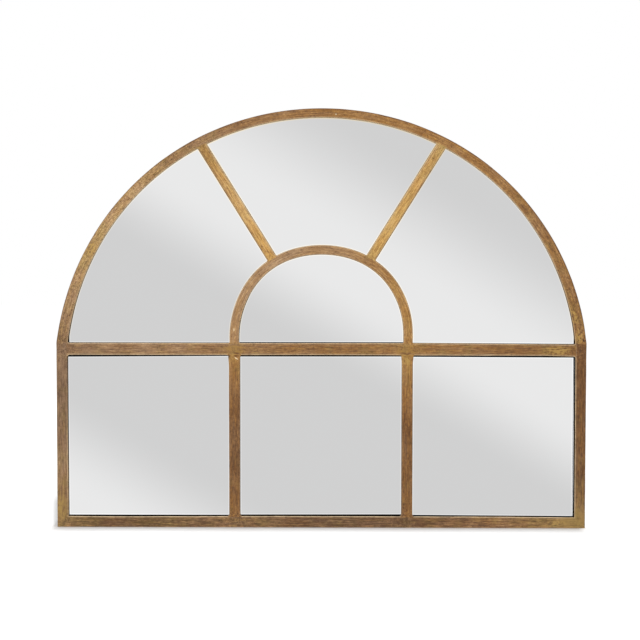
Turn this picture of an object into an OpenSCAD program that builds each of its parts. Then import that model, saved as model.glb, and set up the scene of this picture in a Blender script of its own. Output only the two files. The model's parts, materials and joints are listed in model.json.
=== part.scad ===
// Arched window mirror for a wall: a welded steel frame with seven separate mirror panes.
// The frame's rear face is the plane y = 0, its front looks along -Y and +Z is up.
// The origin is the middle of the frame's lower edge, on that rear face.

/* [Overall] */
// Width of the frame over its two stiles
frame_w = 1219.2; // [1100:0.1:1400]
// Height of the frame from its lower edge to the top of the arch
frame_h = 965.2; // [900:0.1:1000]
// Clear height of the three lower openings
lower_h = 372.5; // [330:0.1:420]

/* [Frame tube] */
// Face width of the two stiles
stile_w = 26.2; // [20:0.1:34]
// Face width of the bottom rail
rail_w = 26.4; // [20:0.1:34]
// Face width of the arch at its crown; it widens to the stiles' width at its feet
crown_w = 20.8; // [20:0.1:32]
// Depth of the frame tube, front to back
tube_d = 25.4; // [24:0.1:36]
// Wall of the frame tube
tube_wall = 1.6; // [1:0.1:3]

/* [Glazing bars] */
// Face width of the transom
transom_w = 28; // [18:0.1:34]
// Face width of the two mullions
mullion_w = 26; // [18:0.1:32]
// Face width of the lunette bar
lunette_w = 21.2; // [16:0.1:30]
// Face width of the two spokes
spoke_w = 22.4; // [16:0.1:30]
// Depth of the bars, front to back
bar_d = 12.7; // [10:0.1:14]
// Wall of the bars
bar_wall = 1.2; // [0.8:0.1:2.5]
// How far the middle of the lunette bar lies outside the middles of the mullions
lunette_out = 1.2; // [0:0.1:5]
// Straight foot of the lunette bar above the transom
lunette_foot = 13.5; // [5:0.5:40]
// Lean of each spoke from upright
spoke_lean = 32; // [24:0.5:40]

/* [Mirror panes] */
// Thickness of the mirror glass
glass_t = 4; // [3:0.1:6]
// Gap between the glass and the bar beside it
pane_gap = 0.6; // [0.5:0.1:3]
// Gap above and below the lower panes
pane_end_gap = 2.4; // [0.5:0.1:4]
// Gap between the upper panes' outer corners and the tube at the springing
corner_gap = 3; // [1:0.1:6]
// How much narrower the lower right pane is cut, on the side of its stile
pane_trim = 1.5; // [0:0.1:3]
// Thickness of the foam tape behind the glass
tape_t = 1; // [0.5:0.1:2]
// Width of a strip of foam tape
tape_w = 19; // [10:1:25]
// Length of a strip of foam tape
tape_l = 90; // [60:1:105]
// Distance from a pane's edge to the tape
tape_inset = 32; // [15:1:40]

/* [Backing board] */
// Thickness of the board
board_t = 9.5; // [8:0.1:12]
// Gap between the board's edge and the tube
board_gap = 1; // [0.5:0.1:3]

/* [Retaining tabs] */
// Length of a tab along the tube
tab_w = 28; // [16:1:50]
// Reach of a tab over the board
tab_reach = 22; // [16:1:34]
// Thickness of a tab
tab_t = 3.2; // [2:0.1:5]
// Tabs on each stile
stile_tabs = 2; // [1:1:3]
// Tabs on the bottom rail
rail_tabs = 3; // [2:1:5]
// Tabs on the arch
arch_tabs = 5; // [3:2:5]
// Angle between neighbouring tabs on the arch
tab_step = 30; // [26:1:32]
// Distance from the frame's corners to the outer tabs of the rail and stiles
tab_margin = 90; // [60:1:130]

/* [Screws] */
// Radius of the board screws' shank
screw_r = 1.75; // [1.5:0.05:2.25]
// Depth that a board screw goes into the board
screw_bite = 6.3; // [4:0.1:7]
// Radius of the strap screws' shank
machine_r = 2; // [1.5:0.05:2.5]
// Gap between a strap screw's tip and the board
tip_gap = 0.2; // [0.1:0.05:0.8]
// Radius of a pan head
head_r = 3.6; // [3:0.1:5]
// Height of a pan head
head_h = 2.3; // [1.5:0.1:3]
// Length of the cross recess in a head
recess_l = 3.8; // [2.5:0.1:4.5]
// Width of the cross recess
slot_w = 1; // [0.6:0.1:1.4]
// Depth of the cross recess
slot_d = 1.1; // [0.5:0.1:1.3]
// Clearance round a shank in its hole
screw_play = 0.05; // [0.05:0.05:0.3]

/* [Hanging rings] */
// Distance from the side of the frame to the middle of each hanger
hanger_inset = 209.6; // [180:0.1:280]
// Width of a hanger plate
plate_w = 50; // [34:1:64]
// Thickness of a hanger plate
plate_t = 3.2; // [2.5:0.1:4]
// Distance from the arch down to the ring's axis, at the plate's outer edge
ring_below_arch = 23; // [12:1:40]
// Width of the strap and its rolled eye
strap_w = 20; // [14:0.5:24]
// Thickness of the strap
strap_t = 1.2; // [0.8:0.1:1.6]
// Distance between the strap's two screws
strap_pitch = 14; // [10:0.5:20]
// Strap left beyond its last screw
strap_tail = 7; // [5:0.5:12]
// Radius of the ring's wire
wire_r = 1.75; // [1.5:0.05:2.2]
// Clearance between the ring's bar and the eye
eye_play = 0.05; // [0.03:0.01:0.1]
// Radius of the ring's two upper bends, to the middle of the wire
ring_bend = 3; // [2.5:0.1:4]
// Straight side of the ring
ring_side = 3.25; // [1:0.25:8]
// Gap between the strap and any part of the ring that passes it
ring_gap = 0.3; // [0.3:0.05:0.8]
// Gap from the eye's end to the ring's bend
eye_gap = 0.75; // [0.4:0.05:1.5]

/* [Wall bumpers] */
// Radius of a rubber bumper
bumper_r = 9; // [6:0.5:9.5]
// Thickness of a rubber bumper
bumper_t = 8; // [7:0.1:12]
// How much a bumper narrows towards the wall
bumper_taper = 1; // [0.2:0.1:2]
// Height of the lower bumpers above the frame's lower edge
bumper_z = 60; // [35:1:140]
// Angle of the upper bumpers from the top of the arch
bumper_lean = 22; // [12:1:60]

/* [Hidden] */
$fn = 96;

// A cut runs past the face that it opens by this much
past = 1;
// A pilot hole is this much deeper than its screw
pilot_spare = 0.5;
// Leans of the foam strips from upright, behind the upper panes and behind the lunette
tape_leans = [13, 50, 76];
lunette_tape_lean = 50;

// Depths, from the front face to the rear face at y = 0
front_y = -tube_d;
bar_back_y = front_y + bar_d;
board_back_y = bar_back_y + board_t;
glass_back_y = bar_back_y - tape_t;
glass_front_y = glass_back_y - glass_t;
tab_back_y = board_back_y + tab_t;
plate_back_y = board_back_y + plate_t;
strap_back_y = plate_back_y + strap_t;
ring_y = strap_back_y + ring_gap + wire_r;

// The lower row: three equal openings between the stiles and two mullions
half_w = frame_w / 2;
inner_half = half_w - stile_w;
opening_w = (2 * inner_half - 2 * mullion_w) / 3;
opening_step = opening_w + mullion_w;
mullion_x = opening_step / 2;
transom_z = rail_w + lower_h;
spring_z = transom_z + transom_w;

// Radius of the circle through a crown and two points level with each other below it
function crown_r(rise, half) = (rise * rise + half * half) / (2 * rise);

// The arch's two faces are circles through the tops of the stiles and the crown
arch_r = crown_r(frame_h - spring_z, half_w);
arch_z = frame_h - arch_r;
arch_in_r = crown_r(frame_h - crown_w - spring_z, inner_half);
arch_in_z = frame_h - crown_w - arch_in_r;

// The lunette bar stands over the mullions
lunette_z = spring_z + lunette_foot;
lunette_r = mullion_x + lunette_out;
lunette_out_r = lunette_r + lunette_w / 2;
lunette_in_r = lunette_r - lunette_w / 2;

// The hangers keep their distance from the sides
hanger_x = half_w - hanger_inset;

// Hanging rings: the eye is rolled round the ring's bar, and the bow hangs clear of the screws
eye_r = wire_r + eye_play;
eye_out_r = eye_r + strap_t;
ring_half = strap_w / 2 + eye_gap + ring_bend;
ring_drop = ring_bend + ring_side + ring_half;
strap_first = ring_drop + wire_r + head_r + eye_gap;
strap_l = strap_first + strap_pitch + strap_tail;
ring_z = inside_z(hanger_x + plate_w / 2) - ring_below_arch;
plate_z = ring_z - strap_l - strap_tail;

// Height of the arch's inner face at a distance x from the middle
function inside_z(x) = arch_in_z + sqrt(arch_in_r * arch_in_r - x * x);

// Distance from the lunette's centre to the arch's inner face, at a lean from upright
function to_arch(lean) = let (up = lunette_z - arch_in_z)
  sqrt(pow(arch_in_r, 2) - pow(up * sin(lean), 2)) - up * cos(lean);

// A point outside the arch's inner face by a distance, at a lean from the crown, as [x, z]
function on_arch(out, lean) =
  [(arch_in_r + out) * sin(lean), arch_in_z + (arch_in_r + out) * cos(lean)];

// Equal places from -reach to reach
function spread(count, reach) =
  count < 2 ? [0] : [for (i = [0 : count - 1]) reach * (2 * i / (count - 1) - 1)];

// Each tab as [x, z, turn]: the tab's root on the tube's inner face, and its outward direction
stile_reach = (lower_h - tab_margin) / 2;
tab_places = concat(
  [for (side = [-1, 1], z = spread(stile_tabs, stile_reach))
    [side * inner_half, rail_w + lower_h / 2 + z, -90 * side]],
  [for (x = spread(rail_tabs, inner_half - tab_margin)) [x, rail_w, 180]],
  [for (lean = spread(arch_tabs, tab_step * (arch_tabs - 1) / 2)) [each on_arch(0, lean), -lean]]);

// Each tab's screw, as [x, z], in the middle of its reach
function tab_hole(place) =
  [place[0] + tab_reach / 2 * sin(place[2]), place[1] - tab_reach / 2 * cos(place[2])];

// Each rubber bumper's middle, as [x, z]
bumper_places = [for (side = [-1, 1])
  each [[side * (half_w - stile_w / 2), bumper_z], on_arch(crown_w / 2, side * bumper_lean)]];

// Draws an outline, given as [x, z], from one depth to another
module slab(back, front)
  translate([0, back, 0]) rotate([90, 0, 0]) linear_extrude(back - front) children();

// A round pin or hole along Y
module rod(r, at, back, front)
  translate([at[0], back, at[1]]) rotate([90, 0, 0]) cylinder(r = r, h = back - front);

// Everything inside the outer tube, drawn in by a gap at the arch and the rail and another at the stiles
module frame_inside(gap, side_gap) intersection() {
  translate([-inner_half + side_gap, rail_w + gap]) square([2 * (inner_half - side_gap), frame_h]);
  union() {
    translate([0, arch_in_z]) circle(arch_in_r - gap, $fn = 4 * $fn);
    translate([-half_w, 0]) square([frame_w, spring_z]);
  }
}

// The lunette bar's outline at a radius: half a circle on two straight feet
module lunette(r, foot) {
  translate([0, lunette_z]) intersection() {
    circle(r, $fn = 2 * $fn);
    translate([-2 * r, 0]) square([4 * r, 2 * r]);
  }
  translate([-r, lunette_z - foot]) square([2 * r, foot]);
}

// The part of the face to the left of the left spoke, up to an edge measured from its middle
module left_of_spoke(edge)
  translate([0, lunette_z]) rotate(spoke_lean)
    translate([edge - 2 * frame_w, -frame_w]) square([2 * frame_w, 3 * frame_w]);

module frame_brass() color([0.56, 0.45, 0.33]) children();
module mirror_glass() color([0.86, 0.87, 0.88]) children();
module zinc() color([0.7, 0.71, 0.72]) children();
module black_steel() color([0.13, 0.13, 0.14]) children();

// Outer frame: square tube, mitred at the two lower corners
module stile() frame_brass() difference() {
  slab(0, front_y)
    polygon([[-half_w, 0], [-inner_half, rail_w], [-inner_half, spring_z], [-half_w, spring_z]]);
  slab(-tube_wall, front_y + tube_wall) translate([-half_w + tube_wall, -past])
    square([stile_w - 2 * tube_wall, spring_z + 2 * past]);
}
module left_stile() stile();
module right_stile() mirror([1, 0, 0]) stile();

module bottom_rail() frame_brass() difference() {
  slab(0, front_y)
    polygon([[-half_w, 0], [half_w, 0], [inner_half, rail_w], [-inner_half, rail_w]]);
  slab(-tube_wall, front_y + tube_wall) translate([-half_w - past, tube_wall])
    square([frame_w + 2 * past, rail_w - 2 * tube_wall]);
}

// The arch springs from the tops of the stiles, cut level there
module arch_band(inset, from_z) intersection() {
  difference() {
    translate([0, arch_z]) circle(arch_r - inset, $fn = 4 * $fn);
    translate([0, arch_in_z]) circle(arch_in_r + inset, $fn = 4 * $fn);
  }
  translate([-frame_w, from_z]) square([2 * frame_w, frame_h]);
}
module outer_arch() frame_brass() difference() {
  slab(0, front_y) arch_band(0, spring_z);
  slab(-tube_wall, front_y + tube_wall) arch_band(tube_wall, spring_z - past);
}

// A straight bar of flat tube, open at both ends: its corner and size as [x, z], and the open way
module bar(corner, size, open) difference() {
  slab(bar_back_y, front_y) translate(corner) square(size);
  slab(bar_back_y - bar_wall, front_y + bar_wall) translate(corner)
    translate([for (i = [0, 1]) i == open ? -past : bar_wall])
      square([for (i = [0, 1]) size[i] + 2 * (i == open ? past : -bar_wall)]);
}
module transom() frame_brass() bar([-inner_half, transom_z], [2 * inner_half, transom_w], 0);
module mullion(x) frame_brass() bar([x - mullion_w / 2, rail_w], [mullion_w, lower_h], 1);
module left_mullion() mullion(-mullion_x);
module right_mullion() mullion(mullion_x);

module lunette_bar() frame_brass() difference() {
  slab(bar_back_y, front_y) difference() {
    lunette(lunette_out_r, lunette_foot);
    lunette(lunette_in_r, lunette_foot + past);
  }
  slab(bar_back_y - bar_wall, front_y + bar_wall) difference() {
    lunette(lunette_out_r - bar_wall, lunette_foot + past);
    lunette(lunette_in_r + bar_wall, lunette_foot + 2 * past);
  }
}

// A spoke runs from the lunette bar to the arch, and both ends are cut to those curves
module spoke_strip(width) translate([0, lunette_z]) rotate(spoke_lean)
  translate([-width / 2, lunette_in_r]) square([width, frame_h]);
module spoke() frame_brass() difference() {
  slab(bar_back_y, front_y) difference() {
    intersection() {
      spoke_strip(spoke_w);
      frame_inside(0, 0);
    }
    lunette(lunette_out_r, lunette_foot);
  }
  slab(bar_back_y - bar_wall, front_y + bar_wall) spoke_strip(spoke_w - 2 * bar_wall);
}
module left_spoke() spoke();
module right_spoke() mirror([1, 0, 0]) spoke();

// Mirror panes: each is its own piece of glass, a little smaller than its opening
module pane() mirror_glass() slab(glass_back_y, glass_front_y) children();
module lower_pane(x, trim = 0) pane()
  translate([x - opening_w / 2 + pane_gap, rail_w + pane_end_gap])
    square([opening_w - 2 * pane_gap - trim, lower_h - 2 * pane_end_gap]);
module pane_lower_left() lower_pane(-opening_step);
module pane_lower_centre() lower_pane(0);
module pane_lower_right() lower_pane(opening_step, pane_trim);

// The whole face above the transom, less the lunette
module upper_face() difference() {
  intersection() {
    frame_inside(pane_gap, corner_gap);
    translate([-half_w, spring_z + pane_gap]) square([frame_w, frame_h]);
  }
  lunette(lunette_out_r + pane_gap, lunette_foot);
}
module upper_side_pane() pane() intersection() {
  upper_face();
  left_of_spoke(-spoke_w / 2 - pane_gap);
}
module pane_upper_left() upper_side_pane();
module pane_upper_right() mirror([1, 0, 0]) upper_side_pane();
module pane_upper_centre() pane() difference() {
  upper_face();
  left_of_spoke(spoke_w / 2 + pane_gap);
  mirror([1, 0]) left_of_spoke(spoke_w / 2 + pane_gap);
}
module pane_lunette() pane() lunette(lunette_in_r - pane_gap, lunette_foot - pane_gap);

// Foam tape between glass and board: upright strips at the lower panes' corners
module lower_strips(x) {
  reach = opening_w / 2 - tape_inset - tape_w / 2;
  for (side = [-1, 1], z = [rail_w + tape_inset, transom_z - tape_inset - tape_l])
    translate([x + side * reach - tape_w / 2, z]) square([tape_w, tape_l]);
}

// Above the transom the strips point away from the lunette's centre
module strip(r, lean) translate([0, lunette_z]) rotate(-lean)
  translate([-tape_w / 2, r]) square([tape_w, tape_l]);
module foam_tape() color([0.9, 0.9, 0.88]) slab(bar_back_y, glass_back_y) {
  for (x = [-opening_step, 0, opening_step]) lower_strips(x);
  for (side = [-1, 1], lean = tape_leans) {
    strip(lunette_out_r + tape_inset, side * lean);
    strip(to_arch(lean) - tape_inset - tape_l, side * lean);
  }
  for (lean = [-lunette_tape_lean, 0, lunette_tape_lean])
    strip(lunette_in_r - tape_inset - tape_l, lean);
}

module backing_board() color([0.1, 0.1, 0.1]) difference() {
  slab(board_back_y, bar_back_y) frame_inside(board_gap, board_gap);
  for (place = tab_places)
    rod(screw_r + screw_play, tab_hole(place), board_back_y + past,
      board_back_y - screw_bite - pilot_spare);
}

// Flat tabs welded inside the tube hold the board against the bars
module retaining_tabs() black_steel() for (place = tab_places) difference() {
  slab(tab_back_y, board_back_y) intersection() {
    frame_inside(0, 0);
    translate([place[0], place[1]]) rotate(place[2])
      translate([-tab_w / 2, -tab_reach]) square([tab_w, tab_reach + tab_w]);
  }
  rod(screw_r + screw_play, tab_hole(place), tab_back_y + past, board_back_y - past);
}

// A pan-head screw with a cross recess, its head seated at a depth
module pan_screw(at, seat, r, length) zinc() {
  rod(r, at, seat, seat - length);
  difference() {
    rod(head_r, at, seat + head_h, seat);
    for (size = [[recess_l, slot_w], [slot_w, recess_l]])
      slab(seat + head_h + past, seat + head_h - slot_d)
        translate(at) square(size, center = true);
  }
}
module board_screws() for (place = tab_places)
  pan_screw(tab_hole(place), tab_back_y, screw_r, tab_t + screw_bite);

// Hangers: a welded plate, a strap rolled into an eye, and a ring that swings in the eye
strap_holes = [for (z = [strap_first, strap_first + strap_pitch]) [hanger_x, ring_z - z]];
module hanger_plate() black_steel() difference() {
  slab(plate_back_y, board_back_y) intersection() {
    frame_inside(0, 0);
    translate([hanger_x - plate_w / 2, plate_z]) square([plate_w, frame_h]);
  }
  for (at = strap_holes) rod(machine_r + screw_play, at, plate_back_y + past, board_back_y - past);
}
module left_hanger_plate() mirror([1, 0, 0]) hanger_plate();
module right_hanger_plate() hanger_plate();

module eye_rod(r, length) translate([hanger_x - length / 2, ring_y, ring_z])
  rotate([0, 90, 0]) cylinder(r = r, h = length);
module ring_strap() zinc() difference() {
  union() {
    slab(strap_back_y, plate_back_y)
      translate([hanger_x - strap_w / 2, ring_z - strap_l]) square([strap_w, strap_l]);
    eye_rod(eye_out_r, strap_w);
  }
  eye_rod(eye_r, strap_w + 2 * past);
  for (at = strap_holes) rod(machine_r + screw_play, at, strap_back_y + past, plate_back_y - past);
}
module left_ring_strap() mirror([1, 0, 0]) ring_strap();
module right_ring_strap() ring_strap();

module right_strap_screws() for (at = strap_holes)
  pan_screw(at, strap_back_y, machine_r, strap_t + plate_t - tip_gap);
module strap_screws() {
  right_strap_screws();
  mirror([1, 0, 0]) right_strap_screws();
}

// The ring is round wire: a straight bar in the eye, two bends, two sides and a bow
module wire_bend(centre, r, from, sweep) translate([centre[0], 0, centre[1]])
  rotate([90, 0, 0]) rotate(from) rotate_extrude(angle = sweep) translate([r, 0]) circle(wire_r);
module hanging_ring() zinc() translate([hanger_x, ring_y, ring_z]) union() {
  bar_half = ring_half - ring_bend;
  side_foot = -ring_bend - ring_side;
  translate([-bar_half, 0, 0]) rotate([0, 90, 0]) cylinder(r = wire_r, h = 2 * bar_half);
  wire_bend([bar_half, -ring_bend], ring_bend, 0, 90);
  wire_bend([-bar_half, -ring_bend], ring_bend, 90, 90);
  for (side = [-1, 1])
    translate([side * ring_half, 0, side_foot]) cylinder(r = wire_r, h = ring_side);
  wire_bend([0, side_foot], ring_half, 180, 180);
}
module left_hanging_ring() mirror([1, 0, 0]) hanging_ring();
module right_hanging_ring() hanging_ring();

// Rubber bumpers on the tube's rear face keep the frame off the wall
module wall_bumpers() color([0.08, 0.08, 0.08]) for (at = bumper_places)
  translate([at[0], 0, at[1]]) rotate([-90, 0, 0])
    cylinder(r1 = bumper_r, r2 = bumper_r - bumper_taper, h = bumper_t);

left_stile();
right_stile();
bottom_rail();
outer_arch();
transom();
left_mullion();
right_mullion();
lunette_bar();
left_spoke();
right_spoke();
pane_lower_left();
pane_lower_centre();
pane_lower_right();
pane_upper_left();
pane_upper_centre();
pane_upper_right();
pane_lunette();
foam_tape();
backing_board();
retaining_tabs();
board_screws();
left_hanger_plate();
right_hanger_plate();
left_ring_strap();
right_ring_strap();
strap_screws();
left_hanging_ring();
right_hanging_ring();
wall_bumpers();
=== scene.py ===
import json
import math

import bmesh
import bpy
import numpy as np
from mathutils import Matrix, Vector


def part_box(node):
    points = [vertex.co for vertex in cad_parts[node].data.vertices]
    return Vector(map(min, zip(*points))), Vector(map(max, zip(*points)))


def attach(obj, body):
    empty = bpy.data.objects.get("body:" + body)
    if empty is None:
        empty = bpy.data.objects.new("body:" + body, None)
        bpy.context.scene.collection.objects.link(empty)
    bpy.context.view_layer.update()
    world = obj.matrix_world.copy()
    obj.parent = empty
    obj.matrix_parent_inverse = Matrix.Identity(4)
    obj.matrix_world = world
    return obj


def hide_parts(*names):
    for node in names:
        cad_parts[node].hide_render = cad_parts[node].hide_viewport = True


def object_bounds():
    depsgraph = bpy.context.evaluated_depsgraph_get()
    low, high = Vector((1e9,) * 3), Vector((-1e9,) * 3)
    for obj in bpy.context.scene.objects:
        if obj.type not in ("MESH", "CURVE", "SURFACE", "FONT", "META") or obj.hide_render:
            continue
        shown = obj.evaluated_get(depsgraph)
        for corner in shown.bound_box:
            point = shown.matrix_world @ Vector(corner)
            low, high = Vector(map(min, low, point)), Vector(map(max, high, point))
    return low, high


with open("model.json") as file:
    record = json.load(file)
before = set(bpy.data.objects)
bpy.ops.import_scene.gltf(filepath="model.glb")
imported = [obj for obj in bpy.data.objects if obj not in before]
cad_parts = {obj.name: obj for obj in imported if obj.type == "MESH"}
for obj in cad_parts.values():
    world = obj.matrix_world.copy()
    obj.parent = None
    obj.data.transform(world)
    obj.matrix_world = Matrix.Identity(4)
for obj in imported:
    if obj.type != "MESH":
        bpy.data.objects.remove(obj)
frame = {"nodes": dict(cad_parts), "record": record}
nodes = frame["nodes"]
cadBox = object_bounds()
print("stage: frame loaded,", len(nodes), "nodes")

# camera and lamps

view = {
    "lens": 85.0, "sensor": 36.0,  # millimetres
    "place": (0.0239, -3.492, 0.6382),
    "turn": 0.443,  # degrees to the left
    "tilt": 2.609,  # degrees down
    "roll": -0.09,
    "clip": (0.05, 60.0),
}

# each lamp: where it stands, what it looks at, its side in metres, its power in watts
lamps = {
    "key": ((0.35, -3.0, 3.1), (0.0, 0.0, 0.3), 1.1, 36.0),
    "fill": ((-2.6, -2.2, 1.6), (0.0, 0.0, 0.5), 1.6, 12.0),
    "rear": ((-1.4, 2.8, 2.6), (0.0, 0.0, 0.5), 1.6, 22.0),
}


def linkToScene(thing):
    bpy.context.scene.collection.objects.link(thing)
    return thing


def buildCamera():
    camera = linkToScene(bpy.data.objects.new("camera", bpy.data.cameras.new("camera")))
    camera.data.lens = view["lens"]
    camera.data.sensor_width = view["sensor"]
    camera.data.clip_start, camera.data.clip_end = view["clip"]
    camera.location = view["place"]
    camera.rotation_euler = (math.radians(90 - view["tilt"]), math.radians(view["roll"]),
                             math.radians(view["turn"]))
    bpy.context.scene.camera = camera
    bpy.context.scene.view_settings.view_transform = "Standard"


def buildLamps():
    # square soft lamps that the panes don't mirror
    for lampName, (place, target, side, power) in lamps.items():
        lampData = bpy.data.lights.new(lampName, "AREA")
        lampData.shape = "SQUARE"
        lampData.size = side
        lampData.energy = power
        lamp = linkToScene(bpy.data.objects.new(lampName, lampData))
        lamp.location = place
        aim = np.array(target) - np.array(place)
        lamp.rotation_euler = (math.atan2(math.hypot(aim[0], aim[1]), -aim[2]), 0,
                               math.atan2(-aim[0], aim[1]))
        lamp.visible_glossy = False


buildCamera()
buildLamps()


# shader helpers

def mathNode(operation, swapped=False):
    # arithmetic between a varying socket and another value, as a Math node
    def work(flow, other):
        first, second = (other, flow) if swapped else (flow, other)
        return flow.paint.add("Math", {0: first, 1: second}, operation=operation)
    return work


class Flow:
    # a varying socket; arithmetic on it adds Math nodes
    def __init__(self, paint, socket):
        self.paint = paint
        self.socket = socket

    __add__ = mathNode("ADD")
    __radd__ = mathNode("ADD", True)
    __sub__ = mathNode("SUBTRACT")
    __rsub__ = mathNode("SUBTRACT", True)
    __mul__ = mathNode("MULTIPLY")
    __truediv__ = mathNode("DIVIDE")
    largest = mathNode("MAXIMUM")

    def ramp(self, low, high, bottom=0.0, top=1.0):
        # a smooth step from bottom to top as this runs from low to high
        return self.paint.add("MapRange", {0: self, 1: low, 2: high, 3: bottom, 4: top},
                              interpolation_type="SMOOTHSTEP")

    def within(self):
        # held between 0 and 1
        return self.paint.add("Clamp", {0: self})


class Paint:
    # one node tree, for a material or for the world
    def __init__(self, tree):
        self.tree = tree
        tree.nodes.clear()

    def add(self, kind, sockets=None, output=0, **settings):
        node = self.tree.nodes.new("ShaderNode" + kind)
        for key, value in settings.items():
            setattr(node, key, value)
        for key, value in (sockets or {}).items():
            if isinstance(value, Flow):
                self.tree.links.new(value.socket, node.inputs[key])
            else:
                node.inputs[key].default_value = value
        return Flow(self, node.outputs[output]) if node.outputs else None

    def objectPlace(self, turn=(0.0, 0.0, 0.0), stretch=(1.0, 1.0, 1.0)):
        place = self.add("TexCoord", output="Object")
        return self.add("Mapping", {"Vector": place, "Rotation": turn, "Scale": stretch})

    def spot(self, centre, size, turn):
        # 1 inside an ellipsoid round a place on the piece, fading out towards its rim
        place = self.add("TexCoord", output="Object")
        scaled = self.add("Mapping", {"Vector": place, "Location": centre, "Rotation": (0.0, turn, 0.0),
                                      "Scale": size}, vector_type="TEXTURE")
        away = self.add("VectorMath", {0: scaled}, "Value", operation="LENGTH")
        return away.ramp(0.45, 1, 1, 0)

    def along(self, lengthwise, across):
        # metres along a bar and round its section, each times its number
        place = self.add("UVMap", uv_map="along")
        return self.add("Mapping", {"Vector": place, "Scale": (lengthwise, across, 1.0)})

    def noise(self, scale, detail, roughness, vector=None):
        # read in the object's own metres, or over the vector given
        return self.add("TexNoise", {"Vector": vector or self.objectPlace(), "Scale": scale,
                                     "Detail": detail, "Roughness": roughness})

    def attribute(self, name):
        return self.add("Attribute", output="Fac", attribute_name=name)

    def tinted(self, factor, colours):
        # evenly spaced colours from factor 0 to factor 1
        ramp = self.add("ValToRGB", {"Fac": factor})
        stops = ramp.socket.node.color_ramp.elements
        while len(stops) < len(colours):
            stops.new(0.5)
        for stop, place, colour in zip(stops, np.linspace(0, 1, len(colours)), colours):
            stop.position = place
            stop.color = (*colour, 1.0)
        return ramp

    def blend(self, factor, first, second, held=True):
        # from the first colour to the second; a factor that isn't held may go past 1
        first, second = (value if isinstance(value, Flow) else (*value, 1) for value in (first, second))
        return self.add("Mix", {0: factor, 6: first, 7: second}, 2, data_type="RGBA", clamp_factor=held)

    def bump(self, height, distance, strength):
        return self.add("Bump", {"Height": height, "Distance": distance, "Strength": strength})

    def principled(self, **sockets):
        # names as in Blender, with _ for a space
        return self.add("BsdfPrincipled", {key.replace("_", " "): value for key, value in sockets.items()})

    def skin(self, **sockets):
        # one Principled shader to the output
        self.add("OutputMaterial", {"Surface": self.principled(**sockets)})


def newMaterial(name, fill, *values):
    # a material with the nodes that fill gives it
    material = bpy.data.materials.new(name)
    material.use_nodes = True
    fill(Paint(material.node_tree), *values)
    return material


# world and floor

studio = {
    "skyLevel": 0.66,  # what lights matt surfaces
    "bright": 1.023, "dim": 0.794,  # the two levels that the panes mirror
    "slope": (1.789, 2.978),  # how fast the bands pass, across and up
    "start": 0.559,
    "firstFall": (-0.23, -0.02), "rise": (0.33, 0.51), "lastFall": (0.59, 0.84),
    "leastAhead": 0.3,  # ways more sideways than this don't squeeze the bands
    "top": 0.9,  # a soft bright ceiling that only glossy metal sees
    "topWay": (-0.25, -0.45, 0.86), "topEdge": (0.55, 0.98),
    "floorReach": 14.0, "floorLevel": -0.0004,
    "floorColour": 0.86,
    "floorLift": (0.0, 0.45),  # white added at the frame and away from it
    "shadeFront": -0.025,  # where the frame's soft shadow is whole,
    "shadeAhead": 0.085,  # how far it reaches from there towards the camera,
    "shadeBehind": (0.3, 0.48),  # and where it fades away behind the frame
    "shadeLeft": 0.02,  # how far it shows past the frame's left end,
    "shadeSpread": 0.181,  # how much further for each metre behind the frame,
    "shadeWhole": 0.3,  # at which share of that distance it is whole there,
    "shadeDark": 0.93,  # and how dark the floor gets there
    "darkFront": (-0.03, 0.0), "darkShare": 0.75,
    # the right end of each shade: how far it draws in for each metre behind the frame, and where it
    # starts to fade and is gone, from the frame's own right end
    "softEnd": (0.5, -0.02, 0.004), "darkEnd": (0.7, -0.14, 0.0),
}


def buildWorld():
    # behind the camera: soft light with dim bands that slope down to the right
    world = bpy.context.scene.world = bpy.data.worlds.new("studio")
    world.use_nodes = True
    paint = Paint(world.node_tree)
    way = paint.add("TexCoord", output="Generated")
    parts = paint.add("SeparateXYZ", {"Vector": way})
    x, y, z = (Flow(paint, output) for output in parts.socket.node.outputs)
    ahead = (0.0 - y).largest(studio["leastAhead"])
    across, up = studio["slope"]
    band = (x * across + z * up) / ahead + studio["start"]
    light = band.ramp(*studio["firstFall"], 1, 0) \
        + band.ramp(*studio["rise"]) * band.ramp(*studio["lastFall"], 1, 0)
    mirrored = light * (studio["bright"] - studio["dim"]) + studio["dim"]
    toTop = paint.add("VectorMath", {0: way, 1: studio["topWay"]}, "Value", operation="DOT_PRODUCT")
    mirrored = mirrored + toTop.ramp(*studio["topEdge"]) * studio["top"]
    camera = paint.add("LightPath", output="Is Camera Ray")
    glossy = paint.add("LightPath", output="Is Glossy Ray")
    level = glossy * mirrored + (1.0 - glossy) * studio["skyLevel"]
    level = camera + (1.0 - camera) * level
    grey = paint.blend(level, (0, 0, 0), (1, 1, 1), False)
    shade = paint.add("Background", {"Color": grey})
    paint.add("OutputWorld", {"Surface": shade})


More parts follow.
